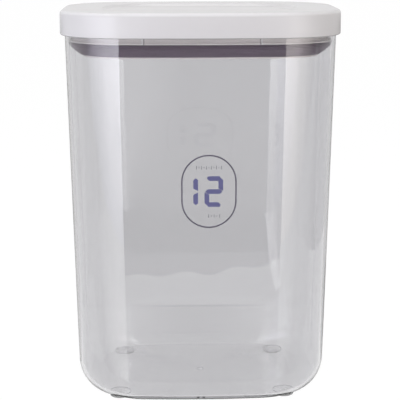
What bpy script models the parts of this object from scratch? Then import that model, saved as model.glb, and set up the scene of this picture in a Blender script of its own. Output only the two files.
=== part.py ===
"""Clear storage tub for dry pet food or grain, with a white push-on lid.

Run with: blender --background --python part.py
Metres, +Z up. The front faces -Y. The origin is on the ground, under the middle of the tub.
The tub is a tapered clear shell on four round pads. Its lid is a cover shell over a stepped
plug, and a finned wedge gasket round the plug seals against the inside of the tub.
"""

import math

import bmesh
import bpy
from mathutils import Vector

# Lid outline, seen from above
LID_WIDTH = 0.266
LID_DEPTH = 0.184
LID_CORNER_RADIUS = 0.062
FRONT_ARC_RADIUS = 0.85

# Lid cover
COVER_WALL = 0.0026
SKIRT_HEIGHT = 0.0234
COVER_EDGE_RADIUS = 0.004
SKIRT_LIP_RADIUS = 0.0012
RECESS_WIDTH = 0.190
RECESS_DEPTH = 0.122
RECESS_CORNER_RADIUS = 0.055
RECESS_DROP = 0.003
RECESS_SLOPE = 0.0025

# Tub
TUB_HEIGHT = 0.3661
TUB_WALL = 0.003
FLOOR_THICKNESS = 0.0035
SKIRT_GAP = 0.0013
SIDE_DRAFT = math.radians(1.24)
FRONT_DRAFT = math.radians(0.5)
BASE_CORNER_RADIUS = 0.055
SIDE_FILLET = 0.0195
FRONT_FILLET = 0.0055
FILLET_HEIGHT = 0.028
RIM_ROUNDING = 0.0008
GATE_RADIUS = 0.0017
GATE_DROP = 0.0005

# Foot pads, placed by their distance in from the walls at the base
FOOT_RADIUS = 0.0102
FOOT_PROUD = 0.0012
FOOT_POCKET_DEPTH = 0.0012
FOOT_EDGE_RADIUS = 0.0005
FOOT_INSET_SIDE = 0.0413
FOOT_INSET_FRONT = 0.0238

# Plug, its insets measured in from the tub's inner wall
PLUG_WALL = 0.0025
SHELF_BELOW_RIM = 0.0235
SHELF_THICKNESS = 0.0012
SHELF_GAP = 0.001
NECK_INSET = 0.005
RIB_OFFSET = 0.0545
RIB_WIDTH = 0.0012
RIB_PROUD = 0.001

# Gasket
GASKET_HEIGHT = 0.012
GASKET_TAPER = 0.0115
GASKET_BACK = 0.0025
FIN_COUNT = 8
FIN_DEPTH = 0.0014
KEEPER_HEIGHT = 0.0015
KEEPER_PROUD = 0.0012

# Gap left between pieces that touch
CLEARANCE = 0.0003

# How finely the round shapes are drawn
CORNER_STEPS = 12
ARC_STEPS = 4
FILLET_STEPS = 6
ROUND_STEPS = 3
CIRCLE_STEPS = 28

# Heights that follow from the sizes above
BASE_Z = FOOT_PROUD
FLOOR_Z = BASE_Z + FLOOR_THICKNESS
RIM_Z = BASE_Z + TUB_HEIGHT
FLANGE_BOTTOM_Z = RIM_Z + CLEARANCE
FLANGE_TOP_Z = FLANGE_BOTTOM_Z + PLUG_WALL
COVER_UNDER_Z = FLANGE_TOP_Z + CLEARANCE
TOP_Z = COVER_UNDER_Z + COVER_WALL
SHELF_Z = RIM_Z - SHELF_BELOW_RIM
GASKET_TOP_Z = SHELF_Z - CLEARANCE
GASKET_BOTTOM_Z = GASKET_TOP_Z - GASKET_HEIGHT
KEEPER_TOP_Z = GASKET_BOTTOM_Z - CLEARANCE
PLUG_BOTTOM_Z = KEEPER_TOP_Z - KEEPER_HEIGHT


class Section:
    """A rounded rectangle whose front and back are shallow arcs."""

    def __init__(self, width, depth, corner, arc=FRONT_ARC_RADIUS):
        self.half_width = width / 2
        self.half_depth = depth / 2
        self.corner = corner
        self.arc = arc

    def inset(self, side, front=None, corner=None):
        front = side if front is None else front
        corner = min(side, front) if corner is None else corner
        return Section(
            2 * (self.half_width - side),
            2 * (self.half_depth - front),
            max(self.corner - corner, 0.002),
            self.arc - front,
        )

    def corner_centre(self):
        x = self.half_width - self.corner
        reach = math.sqrt((self.arc - self.corner) ** 2 - x * x)
        return x, self.half_depth - self.arc + reach

    def edge_y(self, x):
        """Distance of the front or back arc from the middle, at x."""
        return self.half_depth - self.arc + math.sqrt(self.arc**2 - x * x)

    def points(self, z):
        """The outline's points at height z, counter-clockwise from the right side."""
        x, y = self.corner_centre()
        lean = math.asin(x / (self.arc - self.corner))
        quarter = []
        for step in range(CORNER_STEPS + 1):
            angle = (math.pi / 2 - lean) * step / CORNER_STEPS
            quarter.append((x + self.corner * math.cos(angle), y + self.corner * math.sin(angle)))
        back = []
        for step in range(1, ARC_STEPS):
            angle = lean - 2 * lean * step / ARC_STEPS
            back.append((self.arc * math.sin(angle), self.half_depth - self.arc * (1 - math.cos(angle))))
        half = quarter + back + [(-px, py) for px, py in reversed(quarter)]
        return [(px, py, z) for px, py in half] + [(-px, -py, z) for px, py in half]


def circle(radius, z, centre=(0.0, 0.0)):
    points = []
    for step in range(CIRCLE_STEPS):
        angle = 2 * math.pi * step / CIRCLE_STEPS
        points.append((centre[0] + radius * math.cos(angle), centre[1] + radius * math.sin(angle), z))
    return points


def clear_scene():
    for obj in list(bpy.data.objects):
        bpy.data.objects.remove(obj, do_unlink=True)


def make_material(name, colour, roughness, alpha=1.0):
    material = bpy.data.materials.new(name)
    material.use_nodes = True
    shader = material.node_tree.nodes["Principled BSDF"]
    shader.inputs["Base Color"].default_value = (*colour, 1.0)
    shader.inputs["Roughness"].default_value = roughness
    shader.inputs["Metallic"].default_value = 0.0
    shader.inputs["Alpha"].default_value = alpha
    material.diffuse_color = (*colour, alpha)
    return material


def loft(name, rings, material, ring_closes=False):
    """One closed body through rings of equal point count, capped, or joined end to end."""
    mesh = bpy.data.meshes.new(name)
    bm = bmesh.new()
    loops = [[bm.verts.new(point) for point in ring] for ring in rings]
    pairs = list(zip(loops, loops[1:]))
    if ring_closes:
        pairs.append((loops[-1], loops[0]))
    else:
        bm.faces.new(loops[0])
        bm.faces.new(loops[-1])
    for lower, upper in pairs:
        for i in range(len(lower)):
            j = (i + 1) % len(lower)
            bm.faces.new((lower[i], lower[j], upper[j], upper[i]))
    bmesh.ops.recalc_face_normals(bm, faces=bm.faces)
    bm.to_mesh(mesh)
    bm.free()
    mesh.shade_smooth()
    mesh.set_sharp_from_angle(angle=math.radians(35))
    mesh.materials.append(material)
    obj = bpy.data.objects.new(name, mesh)
    bpy.context.collection.objects.link(obj)
    return obj


def hide_tool(obj):
    obj.hide_render = True
    obj.display_type = "WIRE"


def combine(obj, tool, operation):
    modifier = obj.modifiers.new(f"{operation.lower()}_{tool.name}", "BOOLEAN")
    modifier.operation = operation
    modifier.object = tool
    modifier.solver = "EXACT"
    hide_tool(tool)


def box(name, low, high, material):
    corners = []
    for z in (low[2], high[2]):
        corners.append([(low[0], low[1], z), (high[0], low[1], z), (high[0], high[1], z), (low[0], high[1], z)])
    return loft(name, corners, material)


def lid_section():
    return Section(LID_WIDTH, LID_DEPTH, LID_CORNER_RADIUS)


def tub_wall_section(z):
    """The outside of the tub at height z, before the fillet round its base."""
    down = RIM_Z - z
    rim = lid_section().inset(COVER_WALL + SKIRT_GAP)
    corner_loss = (rim.corner - BASE_CORNER_RADIUS) * down / TUB_HEIGHT
    return rim.inset(down * math.tan(SIDE_DRAFT), down * math.tan(FRONT_DRAFT), corner_loss)


def bore_section(z):
    """The inside of the tub at height z, above the fillet."""
    return tub_wall_section(z).inset(TUB_WALL)


def filleted_rings(section_at, bottom, side, front, height):
    """Rings up a fillet, from the flat at its bottom to where the wall starts."""
    rings = []
    for step in range(FILLET_STEPS + 1):
        angle = math.pi / 2 * step / FILLET_STEPS
        z = bottom + height * (1 - math.cos(angle))
        curl = 1 - math.sin(angle)
        rings.append(section_at(z).inset(side * curl, front * curl).points(z))
    return rings


def build_tub(material, feet):
    outer = filleted_rings(tub_wall_section, BASE_Z, SIDE_FILLET, FRONT_FILLET, FILLET_HEIGHT)
    inner = filleted_rings(
        bore_section,
        FLOOR_Z,
        SIDE_FILLET - TUB_WALL,
        FRONT_FILLET - TUB_WALL / 2,
        FILLET_HEIGHT - TUB_WALL,
    )
    rim = tub_wall_section(RIM_Z)
    rings = outer + [
        tub_wall_section(RIM_Z - RIM_ROUNDING).points(RIM_Z - RIM_ROUNDING),
        rim.inset(RIM_ROUNDING).points(RIM_Z),
        rim.inset(TUB_WALL - RIM_ROUNDING).points(RIM_Z),
        bore_section(RIM_Z - RIM_ROUNDING).points(RIM_Z - RIM_ROUNDING),
    ]
    tub = loft("tub_body", rings + inner[::-1], material)
    for name, centre in feet.items():
        pocket_radius = FOOT_RADIUS + CLEARANCE
        pocket = loft(
            f"pocket_{name}",
            [circle(pocket_radius, -FOOT_PROUD, centre), circle(pocket_radius, BASE_Z + FOOT_POCKET_DEPTH, centre)],
            material,
        )
        combine(tub, pocket, "DIFFERENCE")
    gate = loft(
        "gate_mark",
        [circle(GATE_RADIUS, BASE_Z - GATE_DROP), circle(GATE_RADIUS, BASE_Z + FLOOR_THICKNESS / 2)],
        material,
    )
    combine(tub, gate, "UNION")
    return tub


def foot_places():
    base = tub_wall_section(BASE_Z)
    x = base.half_width - FOOT_INSET_SIDE
    y = base.half_depth - FOOT_INSET_FRONT
    return {
        "foot_front_left": (-x, -y),
        "foot_front_right": (x, -y),
        "foot_rear_left": (-x, y),
        "foot_rear_right": (x, y),
    }


def build_foot(name, centre, material):
    top = BASE_Z + FOOT_POCKET_DEPTH - CLEARANCE
    rings = [
        circle(FOOT_RADIUS - FOOT_EDGE_RADIUS, 0.0, centre),
        circle(FOOT_RADIUS, FOOT_EDGE_RADIUS, centre),
        circle(FOOT_RADIUS, top, centre),
    ]
    return loft(name, rings, material)


def build_cover(material):
    outer = lid_section()
    recess = Section(RECESS_WIDTH, RECESS_DEPTH, RECESS_CORNER_RADIUS)
    lower_z = TOP_Z - SKIRT_HEIGHT
    rings = [
        recess.inset(RECESS_SLOPE).points(TOP_Z - RECESS_DROP),
        recess.points(TOP_Z),
    ]
    for step in range(ROUND_STEPS + 1):
        angle = math.pi / 2 * step / ROUND_STEPS
        inset = COVER_EDGE_RADIUS * (1 - math.sin(angle))
        rings.append(outer.inset(inset).points(TOP_Z - COVER_EDGE_RADIUS * (1 - math.cos(angle))))
    inside = outer.inset(COVER_WALL)
    pan = recess.inset(-COVER_WALL, -COVER_WALL, -COVER_WALL)
    rings += [
        outer.points(lower_z + SKIRT_LIP_RADIUS),
        outer.inset(SKIRT_LIP_RADIUS).points(lower_z),
        inside.points(lower_z),
        inside.points(COVER_UNDER_Z),
        pan.points(COVER_UNDER_Z),
        pan.inset(RECESS_SLOPE).points(COVER_UNDER_Z - RECESS_DROP),
    ]
    return loft("lid_cover", rings, material)


def plug_stub_section():
    """The wall that the gasket sits round."""
    return bore_section(GASKET_TOP_Z).inset(GASKET_TAPER + GASKET_BACK + 2 * CLEARANCE)


def build_plug(material):
    bore = bore_section(SHELF_Z)
    stub = plug_stub_section()
    neck = bore.inset(NECK_INSET)
    flange = lid_section().inset(COVER_WALL + CLEARANCE)
    keeper = stub.inset(-KEEPER_PROUD, -KEEPER_PROUD, -KEEPER_PROUD)
    rings = [
        keeper.inset(KEEPER_PROUD / 2).points(PLUG_BOTTOM_Z),
        keeper.points(PLUG_BOTTOM_Z + KEEPER_HEIGHT / 2),
        keeper.points(KEEPER_TOP_Z),
        stub.points(KEEPER_TOP_Z),
        stub.points(SHELF_Z),
        bore.inset(SHELF_GAP).points(SHELF_Z),
        bore.inset(SHELF_GAP).points(SHELF_Z + SHELF_THICKNESS),
        neck.points(SHELF_Z + SHELF_THICKNESS),
        neck.points(FLANGE_BOTTOM_Z),
        flange.points(FLANGE_BOTTOM_Z),
        flange.points(FLANGE_TOP_Z),
        neck.inset(PLUG_WALL).points(FLANGE_TOP_Z),
        neck.inset(PLUG_WALL).points(SHELF_Z + PLUG_WALL),
        stub.inset(PLUG_WALL).points(SHELF_Z + PLUG_WALL),
        stub.inset(PLUG_WALL).points(PLUG_BOTTOM_Z + PLUG_WALL),
    ]
    plug = loft("lid_plug", rings, material)
    for number, (side, face) in enumerate([(-1, -1), (1, -1), (-1, 1), (1, 1)]):
        add_neck_rib(plug, neck, side, face, f"neck_rib_{number + 1}", material)
    return plug


def add_neck_rib(plug, neck, side, face, name, material):
    """An upright rib on the plug's neck, between the shelf and the flange."""
    y = neck.edge_y(RIB_OFFSET)
    root = PLUG_WALL / 2
    low_y, high_y = sorted((face * (y - root), face * (y + RIB_PROUD)))
    x = side * RIB_OFFSET
    rib = box(
        name,
        (x - RIB_WIDTH / 2, low_y, SHELF_Z + SHELF_THICKNESS / 2),
        (x + RIB_WIDTH / 2, high_y, FLANGE_BOTTOM_Z + PLUG_WALL / 2),
        material,
    )
    combine(plug, rib, "UNION")


def build_gasket(material):
    """A ring of fins, wide at the top and drawn in towards the bottom, on a solid back."""
    wall = bore_section(GASKET_TOP_Z)
    back = wall.inset(GASKET_TAPER + GASKET_BACK + CLEARANCE)
    pitch = GASKET_HEIGHT / FIN_COUNT
    rings = [back.points(GASKET_TOP_Z)]
    for fin in range(FIN_COUNT):
        drawn_in = CLEARANCE + GASKET_TAPER * (fin / FIN_COUNT) ** 1.6
        top = GASKET_TOP_Z - fin * pitch
        rings.append(wall.inset(drawn_in).points(top))
        rings.append(wall.inset(drawn_in + FIN_DEPTH).points(top - pitch * 0.75))
    rings.append(wall.inset(CLEARANCE + GASKET_TAPER).points(GASKET_BOTTOM_Z))
    rings.append(back.points(GASKET_BOTTOM_Z))
    return loft("gasket", rings, material, ring_closes=True)


def seat_on(parent, *children):
    for child in children:
        child.parent = parent


def main():
    clear_scene()
    clear_plastic = make_material("clear_plastic", (0.86, 0.87, 0.89), 0.05, alpha=0.3)
    clear_pad = make_material("clear_pad", (0.80, 0.80, 0.82), 0.3, alpha=0.5)
    white_cover = make_material("white_cover", (0.84, 0.83, 0.83), 0.35)
    white_plug = make_material("white_plug", (0.80, 0.78, 0.77), 0.45)
    grey_rubber = make_material("grey_rubber", (0.09, 0.07, 0.09), 0.5)
    feet = foot_places()
    tub = build_tub(clear_plastic, feet)
    for name, centre in feet.items():
        seat_on(tub, build_foot(name, centre, clear_pad))
    plug = build_plug(white_plug)
    seat_on(plug, build_cover(white_cover), build_gasket(grey_rubber))


main()
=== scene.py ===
"""Looks of the clear storage tub: fine shells, gasket fins, printed number, light and camera."""
import math

import bmesh
import bpy
from mathutils import Matrix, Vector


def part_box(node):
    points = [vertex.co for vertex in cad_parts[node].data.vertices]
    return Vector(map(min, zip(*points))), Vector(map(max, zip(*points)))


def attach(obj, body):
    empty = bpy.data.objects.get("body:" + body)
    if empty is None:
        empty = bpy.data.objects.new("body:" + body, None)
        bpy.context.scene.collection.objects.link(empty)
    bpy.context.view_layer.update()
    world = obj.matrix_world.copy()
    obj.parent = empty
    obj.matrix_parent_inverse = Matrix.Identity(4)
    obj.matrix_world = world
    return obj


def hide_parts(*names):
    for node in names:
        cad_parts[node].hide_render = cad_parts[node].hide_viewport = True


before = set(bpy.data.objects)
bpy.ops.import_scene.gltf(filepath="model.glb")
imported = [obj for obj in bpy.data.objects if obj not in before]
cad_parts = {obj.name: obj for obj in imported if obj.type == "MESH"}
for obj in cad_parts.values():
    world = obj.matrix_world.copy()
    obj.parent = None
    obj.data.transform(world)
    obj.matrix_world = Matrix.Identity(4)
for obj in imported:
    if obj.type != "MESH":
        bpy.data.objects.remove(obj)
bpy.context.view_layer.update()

FEET = ("foot_front_left", "foot_front_right", "foot_rear_left", "foot_rear_right")

# Places taken from the frame
cover_low, cover_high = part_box("lid_cover")
tub_low, tub_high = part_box("tub_body")
plug_low, plug_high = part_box("lid_plug")
gasket_low, gasket_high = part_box("gasket")
LID_WIDTH = cover_high.x - cover_low.x
LID_DEPTH = cover_high.y - cover_low.y
TOP_Z = cover_high.z
SKIRT_Z = cover_low.z
RIM_Z = tub_high.z
GASKET_TOP_Z = gasket_high.z
GASKET_BOTTOM_Z = gasket_low.z
PLUG_BOTTOM_Z = plug_low.z
FLANGE_TOP_Z = plug_high.z
RIM_INSET = (LID_WIDTH - (tub_high.x - tub_low.x)) / 2

# Sizes that the frame doesn't give, the same as the solids'
LID_CORNER_RADIUS = 0.062
FRONT_ARC_RADIUS = 0.85
COVER_WALL = 0.0026
COVER_EDGE_RADIUS = 0.004
SKIRT_LIP_RADIUS = 0.0012
RECESS_WIDTH = 0.190
RECESS_DEPTH = 0.122
RECESS_CORNER_RADIUS = 0.055
RECESS_DROP = 0.003
TUB_HEIGHT = 0.3661
TUB_WALL = 0.003
FLOOR_THICKNESS = 0.0035
SIDE_DRAFT = math.radians(1.24)
FRONT_DRAFT = math.radians(0.5)
BASE_CORNER_RADIUS = 0.055
SIDE_FILLET = 0.0195
FRONT_FILLET = 0.0055
FILLET_HEIGHT = 0.028
RIM_ROUNDING = 0.0008
GATE_RADIUS = 0.0017
GATE_DROP = 0.0005
POCKET_DEPTH = 0.0012
CLEARANCE = 0.0003
PLUG_WALL = 0.0025
SHELF_THICKNESS = 0.0012
SHELF_GAP = 0.001
NECK_INSET = 0.005
RIB_OFFSET = 0.0545
RIB_WIDTH = 0.0012
RIB_PROUD = 0.001
GASKET_TAPER = 0.0115
GASKET_CURVE = 1.6
GASKET_BACK = 0.0025
FIN_COUNT = 8
FIN_DEPTH = 0.0014
KEEPER_HEIGHT = 0.0015
KEEPER_PROUD = 0.0012
BASE_Z = RIM_Z - TUB_HEIGHT
TUB_FLOOR_Z = BASE_Z + FLOOR_THICKNESS
SHELF_Z = GASKET_TOP_Z + CLEARANCE
FLANGE_BOTTOM_Z = FLANGE_TOP_Z - PLUG_WALL
COVER_UNDER_Z = TOP_Z - COVER_WALL

# Sizes that are softer or finer here than on the solids
RECESS_SLOPE = 0.005
GATE_RING_RADIUS = 0.0038
GATE_RING_DEPTH = 0.0009
PAD_EDGE_RADIUS = 0.0005
FIN_ROUNDING = 0.0001
SMALLEST_CORNER = 0.002

# A fin's outline: how far down in its pitch, and how far in
FIN_OUTLINE = (
    (0.0, FIN_ROUNDING),
    (0.12, 0.0),
    (0.24, FIN_ROUNDING),
    (0.75, FIN_DEPTH),
    (0.85, FIN_DEPTH),
)

# How finely the round shapes are drawn
CORNER_STEPS = 40
ARC_STEPS = 24
FILLET_STEPS = 20
WALL_STEPS = 24
ROUND_STEPS = 8
CIRCLE_STEPS = 64
BADGE_END_STEPS = 32
SHARP_ANGLE = math.radians(40)

# Inputs and output of a colour mix node, by their numbers
MIX_SHARE = 0
MIX_FIRST = 6
MIX_SECOND = 7
MIX_COLOUR = 2

# White plastics, rubber and ink
MOTTLE_SCALE = 28.0
GRAIN_STRENGTH = 0.35
FINE_GRAIN = 900.0
RUBBER_GRAIN = 700.0
GRAIN_DEPTH = 0.0001
INK_GRAIN_DEPTH = 0.00002
OPAQUE_IOR = 1.5
# Painted shade along the cover's lower lip, where the lid meets its tub
LIP_HEIGHT = 0.0011
LIP_SHADE = 0.75
# Painted highlight on the plug's ribs, and the painted shade beside each
RIB_SHADE = 0.5
RIB_SHADE_OFFSET = RIB_OFFSET - RIB_WIDTH * 1.2

# The cover's painted highlight along its rounded upper edge, and how far up its faces look where it
# starts and ends
EDGE_PAINTED_HIGHLIGHT = 0.28
EDGE_STARTS = (0.15, 0.4)
EDGE_ENDS = (0.65, 0.85)

# Clear plastics
CLEAR_BODY = (0.80, 0.80, 0.81)
CLEAR_DENSITY = 20.0
CLEAR_IOR = 1.57
CLEAR_WAVE = 0.0002
PAD_IOR = 1.4
PAD_WAVE = 0.0001
WAVE_SCALE = 14.0
SMEAR_SCALE = 60.0
MOST_ROUGH = 0.01

# Painted shade on the pads' upright sides, and how far up or down a face looks from its side to its flat
PAD_PAINTED_SIDE_SHADE = (0.35, 0.35, 0.35)
PAD_FLAT = (0.5, 0.95)

# The photograph's camera, and its frame in pixels
FRAME_PX = 400
FOCAL_PX = 1237.0
CAMERA_AWAY = 1.2091
CAMERA_HEIGHT = 0.4477
CAMERA_PITCH = math.radians(12.416)
CAMERA_TURN = math.radians(1.6)
CAMERA_ROLL = math.radians(0.082)
SENSOR = 36.0

# Printed badge on the front wall: a ring round a plain number
BADGE_X = 0.0059
BADGE_Z = 0.2085
BADGE_WIDTH = 0.0502
BADGE_HEIGHT = 0.0682
BADGE_LINE = 0.0014
DIGIT_WIDTH = 0.0173
DIGIT_HEIGHT = 0.0291
DIGIT_STROKE = 0.0044
DIGIT_GAP = 0.0007
DIGIT_PITCH = 0.0233
DIGITS_X = -0.0006
FIRST_DIGIT_BACK = 0.78
INK_LIFT = 0.00005
INK_THICKNESS = 0.00008
INK_TOP = INK_LIFT + INK_THICKNESS

# Shares of a stroke or a gap that shape the ends of a digit's segments
CAP_SHORTER = 0.7
CAP_BEVEL = 0.4
INNER_END = 0.35
TIP_END = 0.15
OUTER_END = 0.25
END_GAP = 0.3

# Rows of tick marks: place from the badge's middle, number, pitch and height
TICK_WIDTH = 0.0006
TICK_ROWS = (
    (0.0, 0.0227, 11, 0.0023, 0.0034),
    (0.0048, -0.0233, 5, 0.0026, 0.0030),
)

# Limits on the turns of a ray, each between two whole numbers
NO_TURN = 0.5
INSIDE_TURNS = 3.5
MOST_TURNS = 7.5

# Floor
FLOOR_Z = -0.0003
FLOOR_HALF_SIZE = 20.0
FLOOR_GREY = (0.9, 0.9, 0.9)
FLOOR_BOUNCE_GREY = (0.6, 0.6, 0.6)
FLOOR_GLOW = 0.93
FLOOR_GLOW_LEVEL = 1.04

# Table, as the glossy walls mirror it
TABLE_Z = FLOOR_Z + 0.0002
TABLE_LEFT = -0.495
TABLE_RIGHT = 0.620
TABLE_FRONT = -0.512
TABLE_FAR_WALL_FRONT = -0.345
TABLE_SKEW = -0.14
TABLE_WAVE = 0.011
TABLE_WAVE_LENGTH = 0.11
TABLE_WAVE_START = 0.0055
TABLE_STEPS = 120
TABLE_LEVEL = 0.77
CARD_BACK = -0.12

# Room round the table
ROOM_Z = FLOOR_Z + 0.00005
ROOM_EDGE = 8.0
ROOM_NEAR = 0.65
ROOM_FAR = 1.4
ROOM_NEAR_LEVEL = 0.08
ROOM_FAR_LEVEL = 0.30
ROOM_LEFT_LEVEL = 0.85
ROOM_RIGHT_FRONT = -0.4
ROOM_RIGHT_FRONT_LEVEL = 0.75
ROOM_RIGHT_BACK_LEVEL = 0.25
FAR_WALL_EXTRA = 0.28
FAR_WALL_LEFT_EXTRA = 1.3
FAR_WALL_SLOPES = (-0.05, -0.10)

# Darker ground beside and behind the tub
SIDE_Z = FLOOR_Z + 0.00006
SIDE_X = 0.14
SIDE_INNER = 0.17
SIDE_OUTER = 1.2
SIDE_START = 0.02
SIDE_END = 6.0
SIDE_LEFT_LEVEL = 0.45
SIDE_RIGHT_LEVEL = 0.3
SIDE_BACK = 1.6
SIDE_BACK_LEVEL = 0.45

# Sheen of the softboxes on the table
SHEEN_Z = FLOOR_Z + 0.0003
WING_SHEEN_Z = FLOOR_Z + 0.0004
SHEEN_NEAR = -0.12
SHEEN_FAR = -0.62
LEFT_CORNER = (-0.075, -0.10)
RIGHT_CORNER = (0.075, -0.10)
WING_CORNER = (-0.054, 0.0)

# Floor behind the tub, as it shows through the walls, with a painted shadow of the tub
TABLE_BACK = 0.2323
TABLE_BACK_LINE = 0.004
BACKDROP_SHADE = 0.02
LINE_SHADE_SIDE = 0.03
LINE_SHADE_MIDDLE = 0.13
SHADE_HALF_WIDTH = 0.078
SHADE_START = 0.09
SHADE_FULL = 0.13
SHADE_UNDER = 0.05
SHADE_BEHIND = 0.11

# World, softboxes and the lamp overhead
WHITE = (1.0, 1.0, 1.0)
WORLD_FILL = 0.45
WORLD_MIRRORED = 0.8
SOFTBOX_Y = -0.62
SOFTBOX_LOW = 0.0
SOFTBOX_TOP = 0.45
SOFTBOX_DIFFUSE = 0.83
LEFT_INNER = -0.208
LEFT_CORE = -0.52
LEFT_OUTER = -3.5
LEFT_TOP = 5.05
LEFT_LOW = 1.65
LEFT_TINT = (0.96, 0.97, 1.05)
LEFT_FADE = 0.5
RIGHT_INNER = 0.245
RIGHT_CORE = 0.50
RIGHT_OUTER = 2.5
RIGHT_TOP = 3.4
RIGHT_LOW = 1.4
RIGHT_TINT = (1.04, 0.99, 0.95)
WING_LEFT = -0.01
WING_RIGHT = 0.08
WING_TOP = 6.7
WING_LOW = 2.0
LAMP_LEVEL = 2.65
LAMP_WIDTH = 1.06
LAMP_DEPTH = 0.76
LAMP_PLACE = (-0.15, -0.1, 1.5)


class Section:
    """A rounded rectangle whose front and back are shallow arcs."""

    def __init__(self, width, depth, corner, arc=FRONT_ARC_RADIUS):
        self.half_width = width / 2
        self.half_depth = depth / 2
        self.corner = corner
        self.arc = arc

    def inset(self, side, front=None, corner=None):
        front = side if front is None else front
        corner = min(side, front) if corner is None else corner
        return Section(
            2 * (self.half_width - side),
            2 * (self.half_depth - front),
            max(self.corner - corner, SMALLEST_CORNER),
            self.arc - front,
        )

    def edge_y(self, x):
        """Distance of the front or back arc from the middle, at x."""
        return self.half_depth - self.arc + math.sqrt(self.arc**2 - x * x)

    def points(self, z):
        """The outline's points at height z, counter-clockwise from the right side."""
        x = self.half_width - self.corner
        y = self.half_depth - self.arc + math.sqrt((self.arc - self.corner) ** 2 - x * x)
        lean = math.asin(x / (self.arc - self.corner))
        quarter = []
        for step in range(CORNER_STEPS + 1):
            angle = (math.pi / 2 - lean) * step / CORNER_STEPS
            quarter.append((x + self.corner * math.cos(angle), y + self.corner * math.sin(angle)))
        back = []
        for step in range(1, ARC_STEPS):
            angle = lean - 2 * lean * step / ARC_STEPS
            arc_y = self.half_depth - self.arc * (1 - math.cos(angle))
            back.append((self.arc * math.sin(angle), arc_y))
        half = quarter + back + [(-px, py) for px, py in reversed(quarter)]
        return [(px, py, z) for px, py in half] + [(-px, -py, z) for px, py in half]


def lid_section():
    return Section(LID_WIDTH, LID_DEPTH, LID_CORNER_RADIUS)


def tub_wall_section(z):
    """The outside of the tub at height z, before the fillet round its base."""
    down = RIM_Z - z
    rim = lid_section().inset(RIM_INSET)
    corner_loss = (rim.corner - BASE_CORNER_RADIUS) * down / TUB_HEIGHT
    return rim.inset(down * math.tan(SIDE_DRAFT), down * math.tan(FRONT_DRAFT), corner_loss)


def bore_section(z):
    """The inside of the tub at height z, above the fillet."""
    return tub_wall_section(z).inset(TUB_WALL)


def circle(radius, z, centre=(0.0, 0.0)):
    points = []
    for step in range(CIRCLE_STEPS):
        angle = 2 * math.pi * step / CIRCLE_STEPS
        points.append((centre[0] + radius * math.cos(angle), centre[1] + radius * math.sin(angle), z))
    return points


def rectangle(low_x, high_x, low_y, high_y):
    """The four corners of a rectangle, as pairs."""
    return [(low_x, low_y), (high_x, low_y), (high_x, high_y), (low_x, high_y)]


def at_height(outline, z):
    """A flat outline of pairs as points at height z."""
    return [(x, y, z) for x, y in outline]


def rounding(radius):
    """Pairs of steps round an edge: in from the wall, and off the flat face."""
    pairs = []
    for step in range(ROUND_STEPS + 1):
        angle = math.pi / 2 * step / ROUND_STEPS
        pairs.append((radius * (1 - math.sin(angle)), radius * (1 - math.cos(angle))))
    return pairs


def finish_mesh(name, bm, material):
    bmesh.ops.recalc_face_normals(bm, faces=bm.faces)
    mesh = bpy.data.meshes.new(name)
    bm.to_mesh(mesh)
    bm.free()
    mesh.shade_smooth()
    mesh.set_sharp_from_angle(angle=SHARP_ANGLE)
    mesh.materials.append(material)
    obj = bpy.data.objects.new(name, mesh)
    bpy.context.scene.collection.objects.link(obj)
    return obj


def add_loft(bm, rings, ring_closes=False):
    """One closed body through rings of equal point count, capped, or joined end to end."""
    loops = [[bm.verts.new(point) for point in ring] for ring in rings]
    pairs = list(zip(loops, loops[1:]))
    if ring_closes:
        pairs.append((loops[-1], loops[0]))
    else:
        bm.faces.new(loops[0])
        bm.faces.new(loops[-1])
    for lower, upper in pairs:
        for i in range(len(lower)):
            j = (i + 1) % len(lower)
            bm.faces.new((lower[i], lower[j], upper[j], upper[i]))


def loft(name, rings, material, ring_closes=False):
    bm = bmesh.new()
    add_loft(bm, rings, ring_closes)
    return finish_mesh(name, bm, material)


def combine(obj, tool, operation):
    """Applies a boolean with the tool, and removes the tool."""
    modifier = obj.modifiers.new("combine", "BOOLEAN")
    modifier.operation = operation
    modifier.object = tool
    modifier.solver = "EXACT"
    with bpy.context.temp_override(object=obj, active_object=obj, selected_objects=[obj]):
        bpy.ops.object.modifier_apply(modifier=modifier.name)
    bpy.data.objects.remove(tool, do_unlink=True)
    obj.data.set_sharp_from_angle(angle=SHARP_ANGLE)


def combine_disc(obj, name, radius, low, high, operation, centre=(0.0, 0.0)):
    """Cuts an upright disc out of the piece, or adds one to it."""
    rings = [circle(radius, low, centre), circle(radius, high, centre)]
    combine(obj, loft(name, rings, obj.data.materials[0]), operation)


# Shader nodes


def new_material(name):
    material = bpy.data.materials.new(name)
    material.use_nodes = True
    nodes = material.node_tree.nodes
    links = material.node_tree.links
    return material, nodes, links, nodes["Principled BSDF"]


def add_noise(nodes, links, scale, detail):
    """A noise from 0 to 1 over the piece's own frame."""
    place = nodes.new("ShaderNodeTexCoord")
    noise = nodes.new("ShaderNodeTexNoise")
    noise.inputs["Scale"].default_value = scale
    noise.inputs["Detail"].default_value = detail
    links.new(place.outputs["Object"], noise.inputs["Vector"])
    return noise.outputs["Fac"]


def add_math(nodes, links, operation, first, second=None, third=None):
    """A sum on sockets or plain numbers."""
    node = nodes.new("ShaderNodeMath")
    node.operation = operation
    for socket, value in zip(node.inputs, (first, second, third)):
        if isinstance(value, float):
            socket.default_value = value
        elif value is not None:
            links.new(value, socket)
    return node.outputs[0]


def add_map(nodes, links, source, from_low, from_high, to_low, to_high):
    """Turns one span of values into another, and keeps within it."""
    spread = nodes.new("ShaderNodeMapRange")
    spread.inputs["From Min"].default_value = from_low
    spread.inputs["From Max"].default_value = from_high
    spread.inputs["To Min"].default_value = to_low
    spread.inputs["To Max"].default_value = to_high
    links.new(source, spread.inputs["Value"])
    return spread.outputs["Result"]


def add_range(nodes, links, share, low, high):
    """A value between low and high, by a share from 0 to 1."""
    return add_map(nodes, links, share, 0.0, 1.0, low, high)


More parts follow.
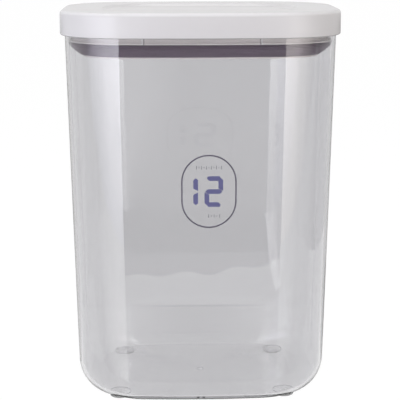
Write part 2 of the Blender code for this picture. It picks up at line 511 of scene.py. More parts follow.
def add_mix(nodes, links, share, first, second):
    """A mix of two colours, each a socket or a plain colour."""
    mix = nodes.new("ShaderNodeMix")
    mix.data_type = "RGBA"
    links.new(share, mix.inputs[MIX_SHARE])
    for number, colour in ((MIX_FIRST, first), (MIX_SECOND, second)):
        if isinstance(colour, tuple):
            mix.inputs[number].default_value = (*colour, 1.0)
        else:
            links.new(colour, mix.inputs[number])
    return mix.outputs[MIX_COLOUR]


def add_bump(nodes, links, source, strength, distance):
    bump = nodes.new("ShaderNodeBump")
    bump.inputs["Strength"].default_value = strength
    bump.inputs["Distance"].default_value = distance
    links.new(source, bump.inputs["Height"])
    return bump.outputs["Normal"]


def add_place(nodes, links):
    """The x, y and z of a point in its piece's own frame, which at rest is the world's."""
    place = nodes.new("ShaderNodeTexCoord")
    split = nodes.new("ShaderNodeSeparateXYZ")
    links.new(place.outputs["Object"], split.inputs["Vector"])
    return split.outputs


def add_upward(nodes, links):
    """How far a face looks up: 1 for a flat top, 0 for an upright wall."""
    facing = nodes.new("ShaderNodeNewGeometry")
    split = nodes.new("ShaderNodeSeparateXYZ")
    links.new(facing.outputs["Normal"], split.inputs["Vector"])
    return split.outputs["Z"]


def mix_surfaces(nodes, links, share, first, second, output="Material Output"):
    """Makes the surface a mix of two shaders' sockets."""
    mix = nodes.new("ShaderNodeMixShader")
    links.new(share, mix.inputs["Fac"])
    links.new(first, mix.inputs[1])
    links.new(second, mix.inputs[2])
    links.new(mix.outputs["Shader"], nodes[output].inputs["Surface"])


# Materials of the object


def paint_lip_shade_and_edge_highlight(nodes, links, colour):
    """Paints shade on the edge where the lid meets its tub, and a painted highlight on the rounded upper
    edges.
    """
    height = add_place(nodes, links)["Z"]
    # Painted shade in a thin band along the lip, and a painted highlight where the faces round over
    near = add_map(nodes, links, height, SKIRT_Z, SKIRT_Z + LIP_HEIGHT, LIP_SHADE, 0.0)
    colour = add_mix(nodes, links, near, colour, (0.0, 0.0, 0.0))
    upward = add_upward(nodes, links)
    edge_highlight_share = add_map(nodes, links, upward, *EDGE_STARTS, 0.0, EDGE_PAINTED_HIGHLIGHT)
    not_flat = add_map(nodes, links, upward, *EDGE_ENDS, 1.0, 0.0)
    return add_mix(nodes, links, add_math(nodes, links, "MULTIPLY", edge_highlight_share, not_flat), colour, WHITE)


def paint_rib_highlight_and_shade(nodes, links, colour):
    """Paints a highlight on the upright ribs on the plug's neck, with a narrow painted shade beside each.
    """
    place = add_place(nodes, links)
    aside = add_math(nodes, links, "ABSOLUTE", place["X"])
    on_neck = add_math(nodes, links, "GREATER_THAN", place["Z"], GASKET_TOP_Z)
    for offset, strength, tint in (
        (RIB_OFFSET, 1.0, WHITE),
        (RIB_SHADE_OFFSET, RIB_SHADE, (0.0, 0.0, 0.0)),
    ):
        stripe = add_math(nodes, links, "COMPARE", aside, offset, RIB_WIDTH / 2)
        stripe = add_math(nodes, links, "MULTIPLY", stripe, on_neck)
        share = add_math(nodes, links, "MULTIPLY", stripe, strength)
        colour = add_mix(nodes, links, share, colour, tint)
    return colour


def moulded_plastic(name, dark, light, rough, grain_scale, grain_depth, shade=None):
    """Opaque moulded plastic or rubber: faint mottling, uneven gloss and a fine grain.

    A shade is a function that paints shade or highlights onto parts of the piece.
    """
    material, nodes, links, shader = new_material(name)
    mottle = add_noise(nodes, links, MOTTLE_SCALE, detail=4.0)
    grain = add_noise(nodes, links, grain_scale, detail=2.0)
    colour = add_mix(nodes, links, mottle, dark, light)
    if shade is not None:
        colour = shade(nodes, links, colour)
    links.new(colour, shader.inputs["Base Color"])
    links.new(add_range(nodes, links, mottle, *rough), shader.inputs["Roughness"])
    links.new(add_bump(nodes, links, grain, GRAIN_STRENGTH, grain_depth), shader.inputs["Normal"])
    shader.inputs["IOR"].default_value = OPAQUE_IOR
    return material


def clear_plastic(name, tint, ior, wave_depth, painted_side_shade=None):
    """Clear moulded plastic that bends what is seen through it and lets lamps through.

    With painted_side_shade, faces that stand upright get a painted shade and are darker than those that
    lie flat.
    """
    material, nodes, links, shader = new_material(name)
    wave = add_noise(nodes, links, WAVE_SCALE, detail=1.0)
    smear = add_noise(nodes, links, SMEAR_SCALE, detail=4.0)
    shader.inputs["Base Color"].default_value = (*tint, 1.0)
    if painted_side_shade is not None:
        level = add_math(nodes, links, "ABSOLUTE", add_upward(nodes, links))
        flat = add_map(nodes, links, level, *PAD_FLAT, 0.0, 1.0)
        links.new(add_mix(nodes, links, flat, painted_side_shade, tint), shader.inputs["Base Color"])
    shader.inputs["Transmission Weight"].default_value = 1.0
    shader.inputs["IOR"].default_value = ior
    links.new(add_range(nodes, links, smear, 0.0, MOST_ROUGH), shader.inputs["Roughness"])
    links.new(add_bump(nodes, links, wave, 1.0, wave_depth), shader.inputs["Normal"])
    body = nodes.new("ShaderNodeVolumeAbsorption")
    body.inputs["Color"].default_value = (*CLEAR_BODY, 1.0)
    body.inputs["Density"].default_value = CLEAR_DENSITY
    links.new(body.outputs["Volume"], nodes["Material Output"].inputs["Volume"])
    path = nodes.new("ShaderNodeLightPath")
    deep = add_math(nodes, links, "GREATER_THAN", path.outputs["Ray Depth"], MOST_TURNS)
    either = add_math(nodes, links, "MAXIMUM", path.outputs["Is Shadow Ray"], deep)
    through = nodes.new("ShaderNodeBsdfTransparent")
    mix_surfaces(nodes, links, either, shader.outputs["BSDF"], through.outputs["BSDF"])
    return material


def tub_plastic():
    return clear_plastic("clear_plastic", (0.760, 0.757, 0.770), CLEAR_IOR, CLEAR_WAVE)


def pad_plastic():
    return clear_plastic("clear_pad", (0.97, 0.97, 0.97), PAD_IOR, PAD_WAVE, PAD_PAINTED_SIDE_SHADE)


def cover_plastic():
    dark, light = (0.78, 0.763, 0.775), (0.80, 0.783, 0.795)
    rough = (0.24, 0.26)
    return moulded_plastic(
        "white_satin", dark, light, rough, FINE_GRAIN, GRAIN_DEPTH, paint_lip_shade_and_edge_highlight
    )


def plug_plastic():
    dark, light = (0.85, 0.80, 0.79), (0.89, 0.84, 0.83)
    rough = (0.4, 0.5)
    return moulded_plastic("white_warm", dark, light, rough, FINE_GRAIN, GRAIN_DEPTH, paint_rib_highlight_and_shade)


def gasket_rubber():
    dark, light = (0.13, 0.095, 0.135), (0.15, 0.11, 0.155)
    rough = (0.4, 0.55)
    return moulded_plastic("grey_rubber", dark, light, rough, RUBBER_GRAIN, GRAIN_DEPTH)


def badge_ink(name, dark, light):
    """Printed ink, with a shallower grain than the plastics."""
    return moulded_plastic(name, dark, light, (0.3, 0.4), FINE_GRAIN, INK_GRAIN_DEPTH)


# Pieces


def filleted_rings(section_at, bottom, side, front, height):
    """Rings up a fillet, from the flat at its bottom to where the wall starts."""
    rings = []
    for step in range(FILLET_STEPS + 1):
        angle = math.pi / 2 * step / FILLET_STEPS
        z = bottom + height * (1 - math.cos(angle))
        curl = 1 - math.sin(angle)
        rings.append(section_at(z).inset(side * curl, front * curl).points(z))
    return rings


def wall_rings(section_at, low, high):
    rings = []
    for step in range(1, WALL_STEPS + 1):
        z = low + (high - low) * step / WALL_STEPS
        rings.append(section_at(z).points(z))
    return rings


def rim_rings():
    """Rings over the tub's rim, from its outside to its inside, both rounded."""
    outside = [(inset, RIM_Z - drop) for drop, inset in rounding(RIM_ROUNDING)[1:]]
    inside = [(TUB_WALL - inset, z) for inset, z in reversed(outside)]
    edge = tub_wall_section(RIM_Z)
    return [edge.inset(inset).points(z) for inset, z in outside + inside]


def foot_place(name):
    """A pad's centre, its radius, and its lower and upper height."""
    low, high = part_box(name)
    centre = ((low.x + high.x) / 2, (low.y + high.y) / 2)
    return centre, (high.x - low.x) / 2, low.z, high.z


def make_tub(material):
    outer = filleted_rings(tub_wall_section, BASE_Z, SIDE_FILLET, FRONT_FILLET, FILLET_HEIGHT)
    outer += wall_rings(tub_wall_section, BASE_Z + FILLET_HEIGHT, RIM_Z - RIM_ROUNDING)
    height = FILLET_HEIGHT - TUB_WALL
    side, front = SIDE_FILLET - TUB_WALL, FRONT_FILLET - TUB_WALL / 2
    inner = filleted_rings(bore_section, TUB_FLOOR_Z, side, front, height)
    inner += wall_rings(bore_section, TUB_FLOOR_Z + height, RIM_Z - RIM_ROUNDING)
    tub = loft("tub_shell", outer + rim_rings() + inner[::-1], material)
    for name in FEET:
        centre, radius, _, _ = foot_place(name)
        top = BASE_Z + POCKET_DEPTH
        combine_disc(tub, "pocket", radius + CLEARANCE, -BASE_Z, top, "DIFFERENCE", centre)
    combine_disc(tub, "gate_ring", GATE_RING_RADIUS, 0.0, BASE_Z + GATE_RING_DEPTH, "DIFFERENCE")
    middle = BASE_Z + FLOOR_THICKNESS / 2
    combine_disc(tub, "gate", GATE_RADIUS, BASE_Z - GATE_DROP, middle, "UNION")
    return tub


def make_foot(name, material):
    """A pad: a disc with both edges rounded."""
    centre, radius, low_z, high_z = foot_place(name)
    rings = [circle(radius - inset, low_z + rise, centre) for inset, rise in rounding(PAD_EDGE_RADIUS)]
    rings += [circle(radius - inset, high_z - drop, centre) for drop, inset in rounding(PAD_EDGE_RADIUS)]
    return loft(f"pad_{name}", rings, material)


def make_cover(material):
    outer = lid_section()
    recess = Section(RECESS_WIDTH, RECESS_DEPTH, RECESS_CORNER_RADIUS)
    rings = []
    for step in range(ROUND_STEPS + 1):
        share = step / ROUND_STEPS
        drop = RECESS_DROP * (0.5 + 0.5 * math.cos(math.pi * share))
        rings.append(recess.inset(RECESS_SLOPE * (1 - share)).points(TOP_Z - drop))
    for inset, drop in rounding(COVER_EDGE_RADIUS):
        rings.append(outer.inset(inset).points(TOP_Z - drop))
    for rise, inset in rounding(SKIRT_LIP_RADIUS):
        rings.append(outer.inset(inset).points(SKIRT_Z + rise))
    inside = outer.inset(COVER_WALL)
    pan = recess.inset(-COVER_WALL, -COVER_WALL, -COVER_WALL)
    rings += [
        inside.points(SKIRT_Z),
        inside.points(COVER_UNDER_Z),
        pan.points(COVER_UNDER_Z),
        pan.inset(RECESS_SLOPE).points(COVER_UNDER_Z - RECESS_DROP),
    ]
    return loft("cover_shell", rings, material)


def make_plug(material):
    bore = bore_section(SHELF_Z)
    stub = bore_section(GASKET_TOP_Z).inset(GASKET_TAPER + GASKET_BACK + 2 * CLEARANCE)
    neck = bore.inset(NECK_INSET)
    flange = lid_section().inset(COVER_WALL + CLEARANCE)
    keeper = stub.inset(-KEEPER_PROUD, -KEEPER_PROUD, -KEEPER_PROUD)
    keeper_top = PLUG_BOTTOM_Z + KEEPER_HEIGHT
    rings = [
        keeper.inset(KEEPER_PROUD / 2).points(PLUG_BOTTOM_Z),
        keeper.points(PLUG_BOTTOM_Z + KEEPER_HEIGHT / 2),
        keeper.points(keeper_top),
        stub.points(keeper_top),
        stub.points(SHELF_Z),
        bore.inset(SHELF_GAP).points(SHELF_Z),
        bore.inset(SHELF_GAP).points(SHELF_Z + SHELF_THICKNESS),
        neck.points(SHELF_Z + SHELF_THICKNESS),
        neck.points(FLANGE_BOTTOM_Z),
        flange.points(FLANGE_BOTTOM_Z),
        flange.points(FLANGE_TOP_Z),
        neck.inset(PLUG_WALL).points(FLANGE_TOP_Z),
        neck.inset(PLUG_WALL).points(SHELF_Z + PLUG_WALL),
        stub.inset(PLUG_WALL).points(SHELF_Z + PLUG_WALL),
        stub.inset(PLUG_WALL).points(PLUG_BOTTOM_Z + PLUG_WALL),
    ]
    plug = loft("plug_shell", rings, material)
    for side in (-1, 1):
        for face in (-1, 1):
            combine(plug, neck_rib(neck, side, face, material), "UNION")
    return plug


def neck_rib(neck, side, face, material):
    """An upright rib on the plug's neck, between the shelf and the flange."""
    y = neck.edge_y(RIB_OFFSET)
    low_y, high_y = sorted((face * (y - PLUG_WALL / 2), face * (y + RIB_PROUD)))
    x = side * RIB_OFFSET
    outline = rectangle(x - RIB_WIDTH / 2, x + RIB_WIDTH / 2, low_y, high_y)
    heights = (SHELF_Z + SHELF_THICKNESS / 2, FLANGE_BOTTOM_Z + PLUG_WALL / 2)
    return loft("rib", [at_height(outline, z) for z in heights], material)


def make_gasket(material):
    """A ring of fins, wide at the top and drawn in towards the bottom, on a solid back."""
    wall = bore_section(GASKET_TOP_Z)
    back = wall.inset(GASKET_TAPER + GASKET_BACK + CLEARANCE)
    pitch = (GASKET_TOP_Z - GASKET_BOTTOM_Z) / FIN_COUNT
    rings = [back.points(GASKET_TOP_Z)]
    for fin in range(FIN_COUNT):
        drawn_in = CLEARANCE + GASKET_TAPER * (fin / FIN_COUNT) ** GASKET_CURVE
        top = GASKET_TOP_Z - fin * pitch
        for share, inset in FIN_OUTLINE:
            rings.append(wall.inset(drawn_in + inset).points(top - pitch * share))
    rings.append(wall.inset(CLEARANCE + GASKET_TAPER).points(GASKET_BOTTOM_Z))
    rings.append(back.points(GASKET_BOTTOM_Z))
    return loft("gasket_ring", rings, material, ring_closes=True)


# Badge


def on_front_wall(outline, lift):
    """An outline of (x, z) pairs, laid over the tub's front wall."""
    return [(x, -(tub_wall_section(z).edge_y(x) + lift), z) for x, z in outline]


def add_ink(bm, outline):
    """A thin patch of ink over the front wall, inside a closed outline of (x, z) pairs."""
    add_loft(bm, [on_front_wall(outline, lift) for lift in (INK_LIFT, INK_TOP)])


def stadium(width, height):
    """Pairs round an upright shape with half-round ends."""
    radius = width / 2
    rise = height / 2 - radius
    points = []
    for end in (0, 1):
        for step in range(BADGE_END_STEPS + 1):
            angle = math.pi * (end + step / BADGE_END_STEPS)
            x = radius * math.cos(angle)
            z = radius * math.sin(angle) + (rise if end == 0 else -rise)
            points.append((BADGE_X + x, BADGE_Z + z))
    return points


def make_badge_ring(material):
    outer = stadium(BADGE_WIDTH + BADGE_LINE, BADGE_HEIGHT + BADGE_LINE)
    inner = stadium(BADGE_WIDTH - BADGE_LINE, BADGE_HEIGHT - BADGE_LINE)
    lower = [on_front_wall(outline, INK_LIFT) for outline in (inner, outer)]
    upper = [on_front_wall(outline, INK_TOP) for outline in (outer, inner)]
    return loft("badge_ring", lower + upper, material, ring_closes=True)


def bar_across(x, z, half_length):
    """A level segment of a digit, with pointed ends."""
    half = DIGIT_STROKE / 2
    return [
        (x - half_length, z),
        (x - half_length + half, z - half),
        (x + half_length - half, z - half),
        (x + half_length, z),
        (x + half_length - half, z + half),
        (x - half_length + half, z + half),
    ]


def bar_cap(x, z, up):
    """The top or bottom segment: its outer side is the longer one."""
    half = DIGIT_STROKE / 2
    long_half = DIGIT_WIDTH / 2 - DIGIT_GAP - half * CAP_SHORTER
    short_half = long_half - half
    bevel = half * CAP_BEVEL
    return [
        (x - short_half, z - up * half),
        (x + short_half, z - up * half),
        (x + long_half, z),
        (x + long_half - bevel, z + up * half),
        (x - long_half + bevel, z + up * half),
        (x - long_half, z),
    ]


def bar_upright(x, z, side, up):
    """An upright segment at one side of a digit, in its upper (up 1) or lower (up -1) half."""
    outer = x + side * DIGIT_WIDTH / 2
    inner = outer - side * DIGIT_STROKE
    middle = outer - side * DIGIT_STROKE / 2
    end = z + up * (DIGIT_HEIGHT / 2 - DIGIT_STROKE / 2 - DIGIT_GAP * END_GAP)
    return [
        (outer, z + up * DIGIT_GAP),
        (inner, z + up * (DIGIT_GAP + DIGIT_STROKE / 2)),
        (inner, end - up * DIGIT_STROKE * INNER_END),
        (middle, end + up * DIGIT_STROKE * TIP_END),
        (outer, end - up * DIGIT_STROKE * OUTER_END),
    ]


def make_badge_number(material):
    """The plain number 12, in seven-segment strokes."""
    one_x = DIGITS_X + BADGE_X - DIGIT_PITCH * FIRST_DIGIT_BACK
    two_x = one_x + DIGIT_PITCH
    top = BADGE_Z + DIGIT_HEIGHT / 2 - DIGIT_STROKE / 2
    bottom = BADGE_Z - DIGIT_HEIGHT / 2 + DIGIT_STROKE / 2
    bm = bmesh.new()
    for up in (1, -1):
        add_ink(bm, bar_upright(one_x, BADGE_Z, 1, up))
    add_ink(bm, bar_cap(two_x, top, 1))
    add_ink(bm, bar_upright(two_x, BADGE_Z, 1, 1))
    add_ink(bm, bar_across(two_x, BADGE_Z, DIGIT_WIDTH / 2 - DIGIT_GAP))
    add_ink(bm, bar_upright(two_x, BADGE_Z, -1, -1))
    add_ink(bm, bar_cap(two_x, bottom, -1))
    return finish_mesh("badge_number", bm, material)


def make_badge_ticks(material):
    """Two small rows of marks, over and under the number, where a scale would be."""
    bm = bmesh.new()
    width = TICK_WIDTH / 2
    for row_x, row_z, count, pitch, height in TICK_ROWS:
        z = BADGE_Z + row_z
        for tick in range(count):
            x = BADGE_X + row_x + (tick - (count - 1) / 2) * pitch
            half = height / 2 if tick % 2 == 0 else height / 4
            add_ink(bm, rectangle(x - width, x + width, z - half, z + half))
    return finish_mesh("badge_ticks", bm, material)


# Rays that the stage tells apart


def seen_rays(nodes, links):
    """1 for rays from the camera, mirrored rays and rays through clear plastic."""
    path = nodes.new("ShaderNodeLightPath")
    total = path.outputs["Is Camera Ray"]
    for name in ("Is Glossy Ray", "Is Transmission Ray"):
        total = add_math(nodes, links, "MAXIMUM", total, path.outputs[name])
    return total


def far_wall_rays(nodes, links):
    """1 for rays that have passed through the near wall and mirror in the far walls."""
    path = nodes.new("ShaderNodeLightPath")
    return add_math(nodes, links, "GREATER_THAN", path.outputs["Transmission Depth"], INSIDE_TURNS)


def mirrored_rays(nodes, links):
    """0 for rays that have only passed straight through clear plastic, 1 for all others."""
    path = nodes.new("ShaderNodeLightPath")
    turns = add_math(nodes, links, "ADD", path.outputs["Glossy Depth"], path.outputs["Diffuse Depth"])
    unturned = add_math(nodes, links, "LESS_THAN", turns, NO_TURN)
    straight = add_math(nodes, links, "MULTIPLY", path.outputs["Is Transmission Ray"], unturned)
    return add_math(nodes, links, "SUBTRACT", 1.0, straight)


# Stage


def set_glow(nodes, links, level):
    """Makes a socket the strength of a glowing piece."""
    links.new(level, nodes["Emission"].inputs["Strength"])


def glowing_material(name, far_walls_only):
    """A glow hidden from rays straight through the tub, or shown only to the far walls' rays."""
    material, nodes, links, _ = new_material(name)
    glow = nodes.new("ShaderNodeEmission")
    rays = mirrored_rays(nodes, links)
    if far_walls_only:
        rays = add_math(nodes, links, "MULTIPLY", rays, far_wall_rays(nodes, links))
    through = nodes.new("ShaderNodeBsdfTransparent")
    mix_surfaces(nodes, links, rays, through.outputs["BSDF"], glow.outputs["Emission"])
    return material, nodes, links


def glowing_panel(name, corners, material):
    """A flat piece that casts no shadow and that the camera doesn't see."""
    bm = bmesh.new()
    bm.faces.new([bm.verts.new(corner) for corner in corners])
    panel = finish_mesh(name, bm, material)
    panel.visible_camera = False
    panel.visible_shadow = False
    return panel


def add_card(name, outline, z, level=1.0, far_walls_only=False):
    """A flat card of one brightness beside the tub, that only the tub's reflections show."""
    material, nodes, links = glowing_material(name, far_walls_only)
    nodes["Emission"].inputs["Strength"].default_value = level
    card = glowing_panel(name, at_height(outline, z), material)
    card.visible_diffuse = False
    return card, nodes, links


def floor_shade(nodes, links):
    """The floor's brightness, darker through the tub: a painted shadow of the tub, the table's far edge,
    backdrop.
    """
    place = add_place(nodes, links)
    path = nodes.new("ShaderNodeLightPath")
    aside = add_math(nodes, links, "ABSOLUTE", place["X"])
    square = add_math(nodes, links, "POWER", aside, 2.0)
    middle = add_map(nodes, links, square, 0.0, SHADE_HALF_WIDTH**2, 1.0, 0.0)
    behind = add_map(nodes, links, place["Y"], SHADE_START, SHADE_FULL, SHADE_UNDER, SHADE_BEHIND)
    table = add_math(nodes, links, "LESS_THAN", place["Y"], TABLE_BACK)
    shadow = add_math(nodes, links, "MULTIPLY", middle, add_math(nodes, links, "MULTIPLY", behind, table))
    backdrop = add_range(nodes, links, table, BACKDROP_SHADE, 0.0)
    line = add_math(nodes, links, "COMPARE", place["Y"], TABLE_BACK, TABLE_BACK_LINE)
    line_level = add_range(nodes, links, middle, LINE_SHADE_SIDE, LINE_SHADE_MIDDLE)
    shade = add_math(nodes, links, "MULTIPLY_ADD", line, line_level, backdrop)
    shade = add_math(nodes, links, "ADD", shade, shadow)
    shade = add_math(nodes, links, "MULTIPLY", shade, path.outputs["Is Transmission Ray"])
    return add_range(nodes, links, shade, FLOOR_GLOW_LEVEL, 0.0)


def make_floor():
    """A white floor that keeps a share of its shading, so the tub's shadow shows on it."""
    bm = bmesh.new()
    bmesh.ops.create_grid(bm, x_segments=1, y_segments=1, size=FLOOR_HALF_SIZE)
    bmesh.ops.translate(bm, verts=bm.verts, vec=(0.0, 0.0, FLOOR_Z))
    material, nodes, links, shader = new_material("floor_white")
    shader.inputs["Roughness"].default_value = 1.0
    shader.inputs["Specular IOR Level"].default_value = 0.0
    path = nodes.new("ShaderNodeLightPath")
    grey = add_mix(nodes, links, path.outputs["Is Diffuse Ray"], FLOOR_GREY, FLOOR_BOUNCE_GREY)
    links.new(grey, shader.inputs["Base Color"])
    glow = nodes.new("ShaderNodeEmission")
    set_glow(nodes, links, floor_shade(nodes, links))
    share = add_math(nodes, links, "MULTIPLY", seen_rays(nodes, links), FLOOR_GLOW)
    mix_surfaces(nodes, links, share, shader.outputs["BSDF"], glow.outputs["Emission"])
    floor = finish_mesh("floor", bm, material)


def table_front(x):
    """The table's front edge at x, wavy as the moulded wall mirrors it."""
    wave = math.sin(2 * math.pi * (x - TABLE_WAVE_START) / TABLE_WAVE_LENGTH)
    return TABLE_FRONT + TABLE_SKEW * x + TABLE_WAVE * wave


def make_table_top():
    """The white table, which ends nearer for the far walls than for the near one."""
    outline = []
    for step in range(TABLE_STEPS + 1):
        x = TABLE_LEFT + (TABLE_RIGHT - TABLE_LEFT) * step / TABLE_STEPS
        outline.append((x, table_front(x)))
    outline += [(TABLE_RIGHT, CARD_BACK), (TABLE_LEFT, CARD_BACK)]
    _, nodes, links = add_card("table_top", outline, TABLE_Z)
    place = add_place(nodes, links)
    edge = add_math(nodes, links, "MULTIPLY_ADD", place["X"], TABLE_SKEW, TABLE_FAR_WALL_FRONT)
    beyond = add_math(nodes, links, "LESS_THAN", place["Y"], edge)
    dark = add_math(nodes, links, "MULTIPLY", beyond, far_wall_rays(nodes, links))
    set_glow(nodes, links, add_range(nodes, links, dark, TABLE_LEVEL, ROOM_NEAR_LEVEL))


def make_room_far():
    """The room beyond the table, lighter further off, and to the left in the far walls."""
    outline = rectangle(-ROOM_EDGE, ROOM_EDGE, -ROOM_EDGE, -ROOM_NEAR)
    _, nodes, links = add_card("room_far", outline, ROOM_Z)
    place = add_place(nodes, links)
    level = add_map(nodes, links, place["Y"], -ROOM_NEAR, -ROOM_FAR, ROOM_NEAR_LEVEL, ROOM_FAR_LEVEL)
    slope = add_math(nodes, links, "DIVIDE", place["X"], place["Y"])
    extra = add_map(nodes, links, slope, *FAR_WALL_SLOPES, FAR_WALL_EXTRA, FAR_WALL_LEFT_EXTRA)
    level = add_math(nodes, links, "MULTIPLY_ADD", extra, far_wall_rays(nodes, links), level)
    set_glow(nodes, links, level)


def make_room_right():
    """The room to the right of the table, darker towards the back."""
    outline = rectangle(TABLE_RIGHT, ROOM_EDGE, -ROOM_NEAR, SIDE_START)
    _, nodes, links = add_card("room_right", outline, ROOM_Z)
    levels = (ROOM_RIGHT_FRONT_LEVEL, ROOM_RIGHT_BACK_LEVEL)
    depth = add_place(nodes, links)["Y"]
    set_glow(nodes, links, add_map(nodes, links, depth, ROOM_RIGHT_FRONT, 0.0, *levels))


def add_back_card(name, outline, z, level):
    """A card beside or behind the tub that isn't seen through its walls."""
    card, _, _ = add_card(name, outline, z, level)
    card.visible_transmission = False


def make_table_cards():
    """What the glossy walls mirror: a white table, and a darker room round it."""
    make_table_top()
    make_room_far()
    left = rectangle(-ROOM_EDGE, TABLE_LEFT, -ROOM_NEAR, SIDE_START)
    add_card("room_left", left, ROOM_Z, ROOM_LEFT_LEVEL)
    make_room_right()
    front = rectangle(TABLE_LEFT, TABLE_RIGHT, -ROOM_NEAR, CARD_BACK)
    add_card("room_front", front, ROOM_Z, ROOM_NEAR_LEVEL)
    ends = rectangle(SIDE_START, SIDE_END, SIDE_INNER, SIDE_OUTER)
    for name, side, level in (("side_left", -1, SIDE_LEFT_LEVEL), ("side_right", 1, SIDE_RIGHT_LEVEL)):
        fan = [(side * (SIDE_X + slope * y), y) for y, slope in ends]
        add_back_card(name, fan, SIDE_Z, level)
    back = rectangle(TABLE_RIGHT, ROOM_EDGE, SIDE_START, SIDE_BACK)
    add_back_card("room_right_back", back, ROOM_Z, SIDE_BACK_LEVEL)


def add_sheen(name, corner, side, inner, core, outer, extra, far_walls_only=False):
    """A softbox's sheen on the table, fanning out from a point at the tub towards one side."""
    corner_x, corner_y = corner
    outline = []
    for y, slope in ((SHEEN_NEAR, inner), (SHEEN_NEAR, outer), (SHEEN_FAR, outer), (SHEEN_FAR, inner)):
        outline.append((corner_x + side * slope * (corner_y - y), y))
    z = WING_SHEEN_Z if far_walls_only else SHEEN_Z
    _, nodes, links = add_card(name, outline, z, far_walls_only=far_walls_only)
    place = add_place(nodes, links)
    sideways = add_math(nodes, links, "SUBTRACT", place["X"], corner_x)
    away = add_math(nodes, links, "SUBTRACT", corner_y, place["Y"])
    slope = add_math(nodes, links, "DIVIDE", sideways, away)
    levels = (TABLE_LEVEL, TABLE_LEVEL + extra)
    set_glow(nodes, links, add_map(nodes, links, slope, side * outer, side * core, *levels))


def make_sheens():
    """The sheens, each with the slopes of its two edges and of its brightest line."""
    add_sheen("sheen_left", LEFT_CORNER, -1, inner=0.26, core=0.58, outer=2.5, extra=0.9)
    add_sheen("sheen_right", RIGHT_CORNER, 1, inner=0.31, core=0.62, outer=1.4, extra=0.5)
    add_sheen(
        "sheen_wing", WING_CORNER, -1, inner=-0.095, core=0.2, outer=0.5, extra=2.4, far_walls_only=True
    )


# Lights


def make_world():
    """White behind the part, a little darker where the tub mirrors it, and a faint fill."""
    world = bpy.data.worlds.new("world")
    bpy.context.scene.world = world
    world.use_nodes = True
    nodes, links = world.node_tree.nodes, world.node_tree.links
    fill = nodes["Background"]
    fill.inputs["Color"].default_value = (*WHITE, 1.0)
    fill.inputs["Strength"].default_value = WORLD_FILL
    white = nodes.new("ShaderNodeBackground")
    white.inputs["Color"].default_value = (*WHITE, 1.0)
    path = nodes.new("ShaderNodeLightPath")
    level = add_range(nodes, links, path.outputs["Is Camera Ray"], WORLD_MIRRORED, 1.0)
    links.new(level, white.inputs["Strength"])
    surfaces = (fill.outputs["Background"], white.outputs["Background"])
    mix_surfaces(nodes, links, seen_rays(nodes, links), *surfaces, "World Output")


def add_softbox(name, reach, top_level, low_level, tint, fade_power=1.0, far_walls_only=False):
    """An upright glowing panel in front and to one side, brighter at its top and inner side.

    Its reach is its inner edge, where it starts to fade, and its outer edge. One for the far
    walls only is a softbox's inner wing, which the near wall doesn't mirror.
    """
    inner_x, core_x, outer_x = reach
    face = rectangle(*sorted((inner_x, outer_x)), SOFTBOX_LOW, SOFTBOX_TOP)
    material, nodes, links = glowing_material(name, far_walls_only)
    place = add_place(nodes, links)
    path = nodes.new("ShaderNodeLightPath")
    level = add_map(nodes, links, place["Z"], SOFTBOX_LOW, SOFTBOX_TOP, low_level, top_level)
    fade = add_math(nodes, links, "DIVIDE", core_x, place["X"])
    fade = add_math(nodes, links, "POWER", fade, fade_power)
    level = add_math(nodes, links, "MULTIPLY", level, add_math(nodes, links, "MINIMUM", fade, 1.0))
    share = add_range(nodes, links, path.outputs["Is Diffuse Ray"], 1.0, SOFTBOX_DIFFUSE)
    set_glow(nodes, links, add_math(nodes, links, "MULTIPLY", level, share))
    nodes["Emission"].inputs["Color"].default_value = (*tint, 1.0)
    panel = glowing_panel(name, [(x, SOFTBOX_Y, z) for x, z in face], material)
    panel.visible_diffuse = not far_walls_only


def make_softboxes():
    left = (LEFT_INNER, LEFT_CORE, LEFT_OUTER)
    right = (RIGHT_INNER, RIGHT_CORE, RIGHT_OUTER)
    add_softbox("softbox_left", left, LEFT_TOP, LEFT_LOW, LEFT_TINT, LEFT_FADE)
    add_softbox("softbox_right", right, RIGHT_TOP, RIGHT_LOW, RIGHT_TINT)
    left = (WING_LEFT, LEFT_INNER, LEFT_INNER)
    right = (WING_RIGHT, RIGHT_INNER, RIGHT_INNER)
    add_softbox("wing_left", left, WING_TOP, WING_LOW, WHITE, far_walls_only=True)
    add_softbox("wing_right", right, WING_TOP, WING_LOW, WHITE, far_walls_only=True)


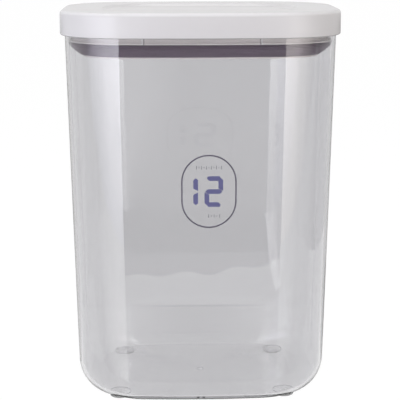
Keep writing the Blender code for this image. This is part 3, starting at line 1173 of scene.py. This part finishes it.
def make_lamp():
    """A wide lamp overhead, facing down."""
    lamp = bpy.data.lights.new("softbox_top", "AREA")
    lamp.shape = "RECTANGLE"
    lamp.size = LAMP_WIDTH
    lamp.size_y = LAMP_DEPTH
    lamp.energy = LAMP_LEVEL * math.pi * LAMP_WIDTH * LAMP_DEPTH
    obj = bpy.data.objects.new("softbox_top", lamp)
    obj.location = LAMP_PLACE
    obj.visible_camera = False
    bpy.context.scene.collection.objects.link(obj)


def make_camera():
    data = bpy.data.cameras.new("camera")
    data.sensor_width = SENSOR
    data.lens = FOCAL_PX * SENSOR / FRAME_PX
    camera = bpy.data.objects.new("camera", data)
    away = Matrix.Translation((0.0, -CAMERA_AWAY, CAMERA_HEIGHT))
    tip = Matrix.Rotation(math.pi / 2 - CAMERA_PITCH, 4, "X") @ Matrix.Rotation(-CAMERA_ROLL, 4, "Z")
    camera.matrix_world = Matrix.Rotation(-CAMERA_TURN, 4, "Z") @ away @ tip
    bpy.context.scene.collection.objects.link(camera)
    bpy.context.scene.camera = camera


def make_badge():
    """The three printed pieces, which ride on the tub."""
    line_ink = badge_ink("line_ink", (0.12, 0.11, 0.15), (0.14, 0.13, 0.17))
    blue_ink = badge_ink("blue_ink", (0.12, 0.12, 0.27), (0.14, 0.14, 0.30))
    faint_ink = badge_ink("faint_ink", (0.22, 0.22, 0.25), (0.26, 0.26, 0.29))
    ring = make_badge_ring(line_ink)
    number = make_badge_number(blue_ink)
    ticks = make_badge_ticks(faint_ink)
    for piece in (ring, number, ticks):
        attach(piece, "tub")


def main():
    make_camera()
    tub = make_tub(tub_plastic())
    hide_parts("tub_body")
    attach(tub, "tub")
    pad = pad_plastic()
    for name in FEET:
        foot = make_foot(name, pad)
        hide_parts(name)
        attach(foot, "tub")
    cover = make_cover(cover_plastic())
    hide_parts("lid_cover")
    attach(cover, "lid")
    plug = make_plug(plug_plastic())
    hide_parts("lid_plug")
    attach(plug, "lid")
    gasket = make_gasket(gasket_rubber())
    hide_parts("gasket")
    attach(gasket, "lid")
    make_badge()

    make_floor()
    make_table_cards()
    make_sheens()
    make_world()
    make_softboxes()
    make_lamp()
    bpy.context.scene.view_settings.view_transform = "Standard"


main()
